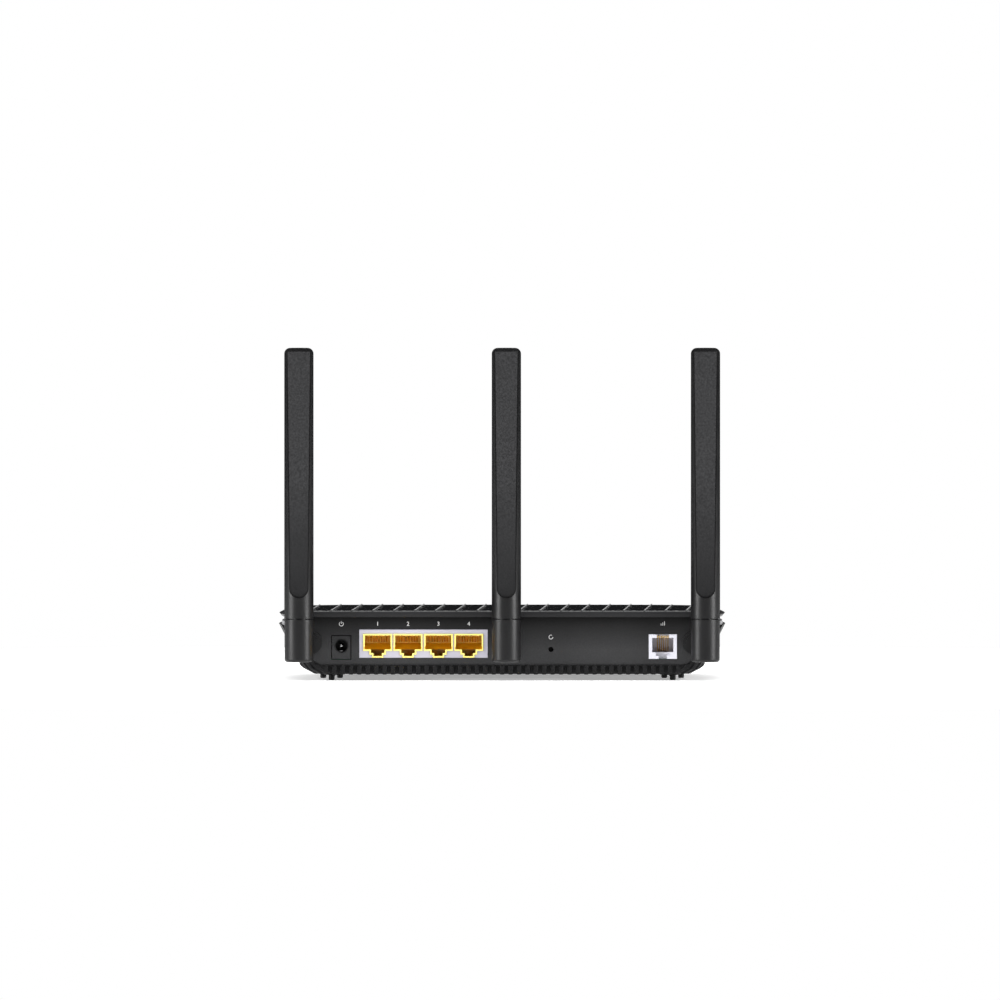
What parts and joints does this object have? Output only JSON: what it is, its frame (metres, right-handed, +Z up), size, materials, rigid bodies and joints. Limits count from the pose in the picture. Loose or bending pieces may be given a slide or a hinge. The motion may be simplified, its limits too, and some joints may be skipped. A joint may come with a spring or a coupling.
{
  "type": "wireless router",
  "caption": "Desktop wireless modem-router: low black case with faceted cover, rear jacks and tall swinging, twisting paddle antennas.",
  "frame": {"origin": "centre of the bounding box at the surface that the feet stand on", "axes": "+Z up, +X to the right when the jacks are faced, +Y towards the front edge"},
  "size_m": [0.2056, 0.1441, 0.153],
  "materials": {
    "case_black": "satin moulded plastic",
    "cover_gloss": "high gloss, faceted",
    "trim_silver": "silver painted plastic",
    "foot_rubber": "soft gloss",
    "panel_grey": "fine grain",
    "jack_yellow": "moulded yellow",
    "jack_shield": "plated sheet",
    "gilt": "gold plated",
    "jack_white": "pale moulded plastic",
    "pin_bright": "nickel plated",
    "lead_black": "extruded sheath",
    "board_green": "solder mask",
    "button_black": "satin",
    "switch_black": "moulded",
    "usb_steel": "folded sheet",
    "chip_black": "moulded epoxy",
    "pad_grey": "soft pad",
    "sink_aluminium": "extruded",
    "sleeve_black": "shrink sleeve",
    "lamp_white": "clear lens",
    "guide_clear": "clear moulded",
    "screw_steel": "zinc plated",
    "antenna_black": "fine spark-eroded grain",
    "antenna_plate_black": "fine grain",
    "radiator_copper": "copper on laminate"
  },
  "bodies": {
    "base": {"bottom_tray": "case_black", "top_cover": "cover_gloss", "side_trim_left": "trim_silver", "side_trim_right": "trim_silver", "feet": "foot_rubber", "rear_panel": "panel_grey", "lan_jack_housing": "jack_yellow", "lan_jack_shield": "jack_shield", "lan_jack_contacts": "gilt", "dsl_jack_housing": "jack_white", "dsl_jack_contacts": "gilt", "power_jack_housing": "panel_grey", "power_jack_pin": "pin_bright", "power_jack_spring": "pin_bright", "antenna_leads": "lead_black", "lead_plugs": "gilt", "main_board": "board_green", "side_port_panel": "case_black", "side_switches": "switch_black", "usb_shell": "usb_steel", "usb_tongue": "switch_black", "usb_contacts": "gilt", "reset_switch": "switch_black", "processor": "chip_black", "thermal_pad": "pad_grey", "heat_sink": "sink_aluminium", "memory_chips": "chip_black", "radio_shields": "usb_steel", "lan_transformers": "chip_black", "dsl_transformer": "chip_black", "capacitors": "sleeve_black", "power_inductor": "chip_black", "status_lamps": "lamp_white", "light_guide": "guide_clear", "case_screws": "screw_steel", "board_screws": "screw_steel"},
    "knuckle_left": {"antenna_knuckle_left": "antenna_black", "antenna_clip_left": "screw_steel"},
    "paddle_left": {"antenna_shell_left": "antenna_black", "antenna_plate_left": "antenna_plate_black", "antenna_radiator_left": "radiator_copper"},
    "knuckle_middle": {"antenna_knuckle_middle": "antenna_black", "antenna_clip_middle": "screw_steel"},
    "paddle_middle": {"antenna_shell_middle": "antenna_black", "antenna_plate_middle": "antenna_plate_black", "antenna_radiator_middle": "radiator_copper"},
    "knuckle_right": {"antenna_knuckle_right": "antenna_black", "antenna_clip_right": "screw_steel"},
    "paddle_right": {"antenna_shell_right": "antenna_black", "antenna_plate_right": "antenna_plate_black", "antenna_radiator_right": "radiator_copper"},
    "power_button": {"power_button": "button_black"},
    "wifi_button": {"wifi_button": "button_black"},
    "reset_button": {"reset_button": "button_black"}
  },
  "joints": [
    {"name": "swing_left", "type": "hinge", "parent": "base", "child": "knuckle_left", "pos_m": [-0.088, -0.0555, 0.0174], "axis": [0, 1, 0], "range_deg": [-90, 35]},
    {"name": "twist_left", "type": "hinge", "parent": "knuckle_left", "child": "paddle_left", "pos_m": [-0.0933, -0.06537, 0.02855], "axis": [0, 0, 1], "range_deg": [-90, 90]},
    {"name": "swing_middle", "type": "hinge", "parent": "base", "child": "knuckle_middle", "pos_m": [0.00193, -0.0555, 0.0174], "axis": [0, 1, 0], "range_deg": [-35, 35]},
    {"name": "twist_middle", "type": "hinge", "parent": "knuckle_middle", "child": "paddle_middle", "pos_m": [0.00193, -0.06537, 0.02855], "axis": [0, 0, 1], "range_deg": [-90, 90]},
    {"name": "swing_right", "type": "hinge", "parent": "base", "child": "knuckle_right", "pos_m": [0.088, -0.0555, 0.0174], "axis": [0, 1, 0], "range_deg": [-34, 90]},
    {"name": "twist_right", "type": "hinge", "parent": "knuckle_right", "child": "paddle_right", "pos_m": [0.0933, -0.06537, 0.02855], "axis": [0, 0, 1], "range_deg": [-90, 90]},
    {"name": "power_button_press", "type": "slide", "parent": "base", "child": "power_button", "axis": [1, 0, 0], "range_m": [0, 0.001], "stiffness_N_per_m": 900, "springref_m": -0.0004},
    {"name": "wifi_button_press", "type": "slide", "parent": "base", "child": "wifi_button", "axis": [1, 0, 0], "range_m": [0, 0.001], "stiffness_N_per_m": 900, "springref_m": -0.0004},
    {"name": "reset_button_press", "type": "slide", "parent": "base", "child": "reset_button", "axis": [0, 1, 0], "range_m": [0, 0.0006], "stiffness_N_per_m": 900, "springref_m": -0.0004}
  ]
}
